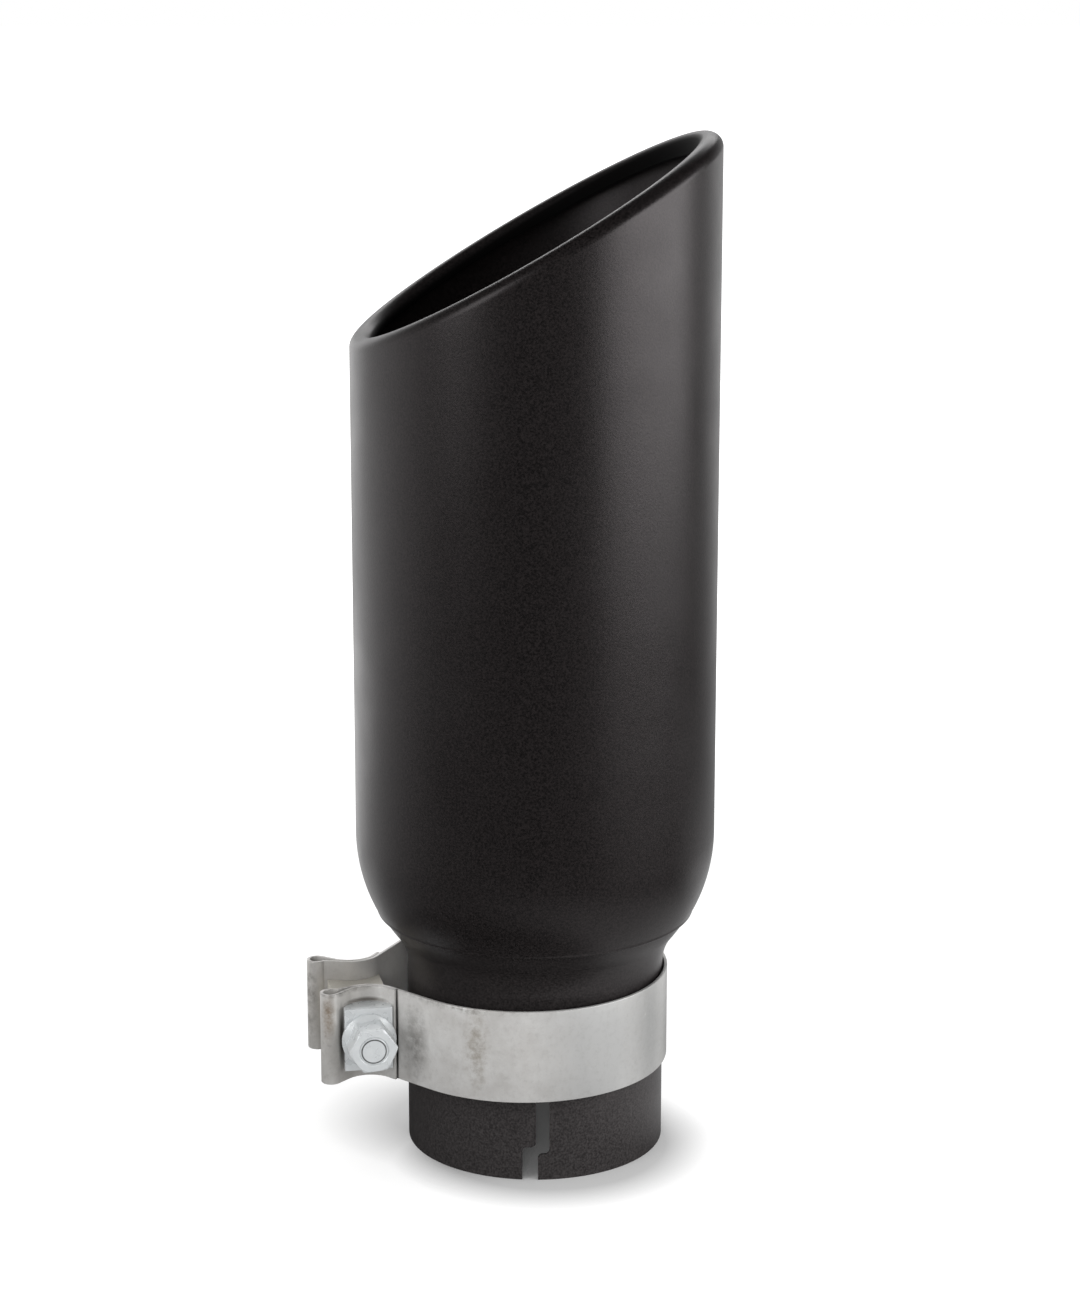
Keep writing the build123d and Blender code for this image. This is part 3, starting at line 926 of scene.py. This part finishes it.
def hex_section(angle, length):
    """Outer section of a flanged hexagon from its crown down to its seat, at an angle from a corner."""
    off_corner = (angle + math.pi / 6) % (math.pi / 3) - math.pi / 6
    r = min(nut_af / 2 / math.cos(math.pi / 6 - abs(off_corner)), hex_corner_r - hex_corner_ease)
    crown_r = min(r, bevel_r) - hex_edge
    shoulder = length - hex_bevel_drop * max(0, r - bevel_r) / hex_bevel
    foot = flange_edge + (flange_r - r) * math.tan(flange_slope)
    return [
        (crown_r - hex_edge, length),
        (crown_r, length),
        (r - hex_edge, shoulder - hex_edge_dip),
        (r, shoulder - hex_edge),
        (r, foot + hex_edge),
        (r + hex_edge, foot),
        (flange_r - 2 * hex_edge, flange_edge + hex_edge),
        (flange_r, flange_edge - hex_edge),
        (flange_r, hex_edge),
        (flange_r - hex_edge, 0),
    ]


def turned(name, section_at, closed):
    """A piece turned about the bolt, from its section at each angle."""
    points = []
    for angle in np.linspace(0, 2 * math.pi, hex_turns, endpoint=False):
        for r, w in section_at(angle):
            points.append(bolt_place @ Vector((r * math.cos(angle), r * math.sin(angle), w)))
    return new_piece(name, points, grid_faces(hex_turns, len(points) // hex_turns, closed))


# Flange nut: the bore runs up to its countersink, then the crown, the flats and the flange.
def nut_section(angle):
    """Section of the nut at an angle."""
    bore_r = bolt_r + run_gap
    bore = [
        (bore_r, 0),
        (bore_r, nut_len - nut_mouth),
        (bore_r + nut_mouth - hex_edge, nut_len - hex_edge),
        (bore_r + nut_mouth, nut_len),
    ]
    return [(r, nut_y + w) for r, w in bore + hex_section(angle - nut_clocking, nut_len)]


nut = turned("flange_nut", nut_section, True)
dress(nut, "clamp_nut", "nut", zinc_plate)

# Bolt: flanged head on the far side, shank, thread cut at the nut's end and a chamfered tip.
bolt_end = nut_y + nut_len
thread_end = bolt_end - bolt_tip_h
thread_rows = np.arange(thread_start, thread_end, thread_pitch / thread_steps)


def bolt_section(angle):
    """Section of the bolt at an angle, from the middle of its head to the middle of its end."""
    head = [(r, -nut_y - w) for r, w in hex_section(angle, head_len)]
    column = [(0, -nut_y - head_len)] + head + [(bolt_r, -nut_y), (bolt_r, thread_start - thread_pitch)]
    for w in thread_rows:
        wave = abs((w / thread_pitch - angle / (2 * math.pi)) % 1 * 2 - 1)
        fade = min(1, (w - thread_start) / thread_pitch, (thread_end - w) / (0.5 * thread_pitch))
        column.append((bolt_r - thread_depth * fade * min(1, thread_flat * wave), w))
    column += [
        (bolt_r - bolt_tip_edge, thread_end + bolt_tip_edge_h),
        (bolt_r - bolt_tip_chamfer, bolt_end),
        (bolt_r - bolt_flat_inset, bolt_end),
        (0, bolt_end),
    ]
    return column


bolt = turned("clamp_bolt_threaded", bolt_section, False)
dress(bolt, "clamp_bolt", "tip", zinc_plate)

# In reflections the white behind the object reaches further round on the left, by this share.
back_lean = -0.55


def set_back(tree, place):
    """How far back a place or a direction lies, with the lean to the left."""
    return add(
        tree,
        "ShaderNodeMath",
        {0: place.outputs["X"], 1: back_lean, 2: place.outputs["Y"]},
        operation="MULTIPLY_ADD",
    ).outputs[0]


def in_mirrors(tree, ray):
    """One for the rays that a mirror sends on, else nought."""
    return add(
        tree,
        "ShaderNodeMath",
        {0: ray.outputs["Is Glossy Ray"], 1: ray.outputs["Is Transmission Ray"]},
        operation="MAXIMUM",
    ).outputs[0]


# Floor: white paper that keeps the object's shadow. To the camera it glows up to white away from the
# object; in reflections it is white close to the object and behind it, and dark in front, where the
# studio is.
floor_mat, tree = new_material("white_studio_paper")
ray = add(tree, "ShaderNodeLightPath")
spot = add(tree, "ShaderNodeTexCoord").outputs["Object"]
across = add(tree, "ShaderNodeSeparateXYZ", {0: spot})
# Rings on the paper, in metres: centre, distances between which it changes, values at both, and ease.
floor_rings = {
    # In reflections: paper near the object, paper behind it, dark patch before the clamp
    "near_paper": ((0, -0.02, 0), 0.25, 0.17, 0.0, 0.5, "SMOOTHSTEP"),
    "back_near": ((0, 0, 0), 0.45, 0.3, 0.0, 1.0, "LINEAR"),
    "in_shade": ((-0.06, -0.05, 0), 0.1, 0.14, 0.06, 1.0, "SMOOTHSTEP"),
    # To the camera: little glow in the neck's shadow and in the ears' shadow, full glow far off
    "near_fill": ((0.005, -0.0118, 0), 0.042, 0.06, 0.03, 0.5, "LINEAR"),
    "ear_fill": ((-0.03, 0.012, 0), 0.022, 0.05, 0.17, 0.5, "LINEAR"),
    "far_fill": ((0, 0, 0), 0.05, 0.6, 0.0, 1.0, "LINEAR"),
}
values = {"camera_ray": ray.outputs["Is Camera Ray"]}
for name, (centre, start, end, start_value, end_value, ease) in floor_rings.items():
    away = add(tree, "ShaderNodeVectorMath", {0: spot, 1: centre}, operation="DISTANCE").outputs["Value"]
    values[name] = add(
        tree,
        "ShaderNodeMapRange",
        {"Value": away, "From Min": start, "From Max": end, "To Min": start_value, "To Max": end_value},
        interpolation_type=ease,
    ).outputs["Result"]
values["far_paper"] = add(
    tree,
    "ShaderNodeMapRange",
    {"Value": set_back(tree, across), "From Min": -0.05, "From Max": 0.65, "To Min": 0.05, "To Max": 1.0},
).outputs["Result"]
values["back_side"] = add(
    tree,
    "ShaderNodeMapRange",
    {"Value": across.outputs["Y"], "From Min": 0.04, "From Max": 0.14},
).outputs["Result"]
floor_rule = [
    ("back_paper", "MULTIPLY", "back_side", "back_near"),
    ("near_back", "MAXIMUM", "near_paper", "back_paper"),
    ("near_far", "MAXIMUM", "far_paper", "near_back"),
    ("paper", "MULTIPLY", "near_far", "in_shade"),
    ("shadow_fill", "MINIMUM", "near_fill", "ear_fill"),
    ("fill", "MAXIMUM", "shadow_fill", "far_fill"),
    ("to_camera", "MULTIPLY", "camera_ray", "fill"),
]
work_out(tree, values, floor_rule)
matt = add(tree, "ShaderNodeBsdfDiffuse", {"Color": linear("#cccccc")})
glow = add(tree, "ShaderNodeEmission", {"Color": (1, 1, 1, 1), "Strength": values["to_camera"]})
lit = add(tree, "ShaderNodeAddShader", {0: matt.outputs[0], 1: glow.outputs[0]})
in_mirror = add(tree, "ShaderNodeEmission", {"Color": (1, 1, 1, 1), "Strength": values["paper"]})
seen = add(
    tree,
    "ShaderNodeMixShader",
    {0: in_mirrors(tree, ray), 1: lit.outputs[0], 2: in_mirror.outputs[0]},
)
add(tree, "ShaderNodeOutputMaterial", {"Surface": seen.outputs[0]})
floor_half = 4
floor_corners = [(x * floor_half, y * floor_half, 0) for x, y in ((-1, -1), (1, -1), (1, 1), (-1, 1))]
floor = new_piece("floor", floor_corners, [(0, 1, 2, 3)])
floor.data.materials.append(floor_mat)
floor_mat.cycles.emission_sampling = "NONE"

# World: white to the camera; in reflections it is white behind the object, a little further round on
# the left, and dark in front and high up; as light it is even.
world = bpy.data.worlds.new("studio")
scene.world = world
world.use_nodes = True
world.cycles.sampling_method = "NONE"
tree = world.node_tree
tree.nodes.clear()
ray = add(tree, "ShaderNodeLightPath")
toward = add(tree, "ShaderNodeSeparateXYZ", {0: add(tree, "ShaderNodeTexCoord").outputs["Generated"]})
backdrop = add(
    tree,
    "ShaderNodeMapRange",
    {"Value": set_back(tree, toward), "From Min": 0.15, "From Max": 1.15, "To Min": 0.05, "To Max": 1.0},
)
low_down = add(
    tree,
    "ShaderNodeMapRange",
    {"Value": toward.outputs["Z"], "From Min": 0.45, "From Max": 0.1, "To Min": 0.05, "To Max": 1.0},
)
low_backdrop = add(
    tree,
    "ShaderNodeMath",
    {0: backdrop.outputs["Result"], 1: low_down.outputs["Result"]},
    operation="MULTIPLY",
)
even = add(
    tree,
    "ShaderNodeMix",
    {0: in_mirrors(tree, ray), 2: 0.75, 3: low_backdrop.outputs[0]},
    data_type="FLOAT",
)
strength = add(
    tree,
    "ShaderNodeMix",
    {0: ray.outputs["Is Camera Ray"], 2: even.outputs[0], 3: 1.0},
    data_type="FLOAT",
)
sky = add(tree, "ShaderNodeBackground", {"Color": (1, 1, 1, 1), "Strength": strength.outputs[0]})
add(tree, "ShaderNodeOutputWorld", {"Surface": sky.outputs[0]})


def softbox(name, place, aim, width, height, power, mirrored=True):
    """A soft rectangular lamp that faces its aim, and shows in mirrors where mirrored says so."""
    lamp = bpy.data.lights.new(name, "AREA")
    lamp.shape = "RECTANGLE"
    lamp.size = width
    lamp.size_y = height
    lamp.energy = power
    holder = bpy.data.objects.new(name, lamp)
    holder.location = place
    holder.rotation_euler = (Vector(aim) - Vector(place)).to_track_quat("-Z", "Y").to_euler()
    holder.visible_camera = False
    holder.visible_glossy = mirrored
    scene.collection.objects.link(holder)


# Lamps: wide ones on the right and behind, smaller ones on the left and on the floor, and a small fill
# from the front that shows in no mirror.
softbox("right_softbox", (0.873, -0.26, 0.32), (0, 0, 0.28), 1.1, 0.5, 6.6)
softbox("left_front_softbox", (-0.7, -0.65, 0.5), (0, 0, 0.3), 0.4, 0.6, 2.2)
softbox("left_back_softbox", (-0.55, 0.85, 0.35), (0, 0, 0.25), 0.5, 0.7, 1.0)
softbox("back_softbox", (0.0, 1.4, 1.0), (0, 0, 0.3), 1.2, 0.5, 5)
softbox("left_floor_card", (-0.33, 0.45, 0.004), (-0.33, 0.45, 1), 0.4, 0.4, 0.4)
softbox("front_fill", (-0.1, -1.2, 0.5), (-0.04, 0, 0.06), 0.3, 0.3, 2.4, mirrored=False)

# Camera as fitted to the photograph: higher than the tip's top and looking 15.6 degrees down.
camera_data = bpy.data.cameras.new("camera")
camera_data.sensor_width = 36
camera_data.lens = 98.86
camera_data.shift_x = 0.0038
camera = bpy.data.objects.new("camera", camera_data)
camera.location = (0, -1.2161, 0.5166)
camera.rotation_euler = (math.radians(74.444), 0, 0)
scene.collection.objects.link(camera)
scene.camera = camera
scene.view_settings.view_transform = "Standard"
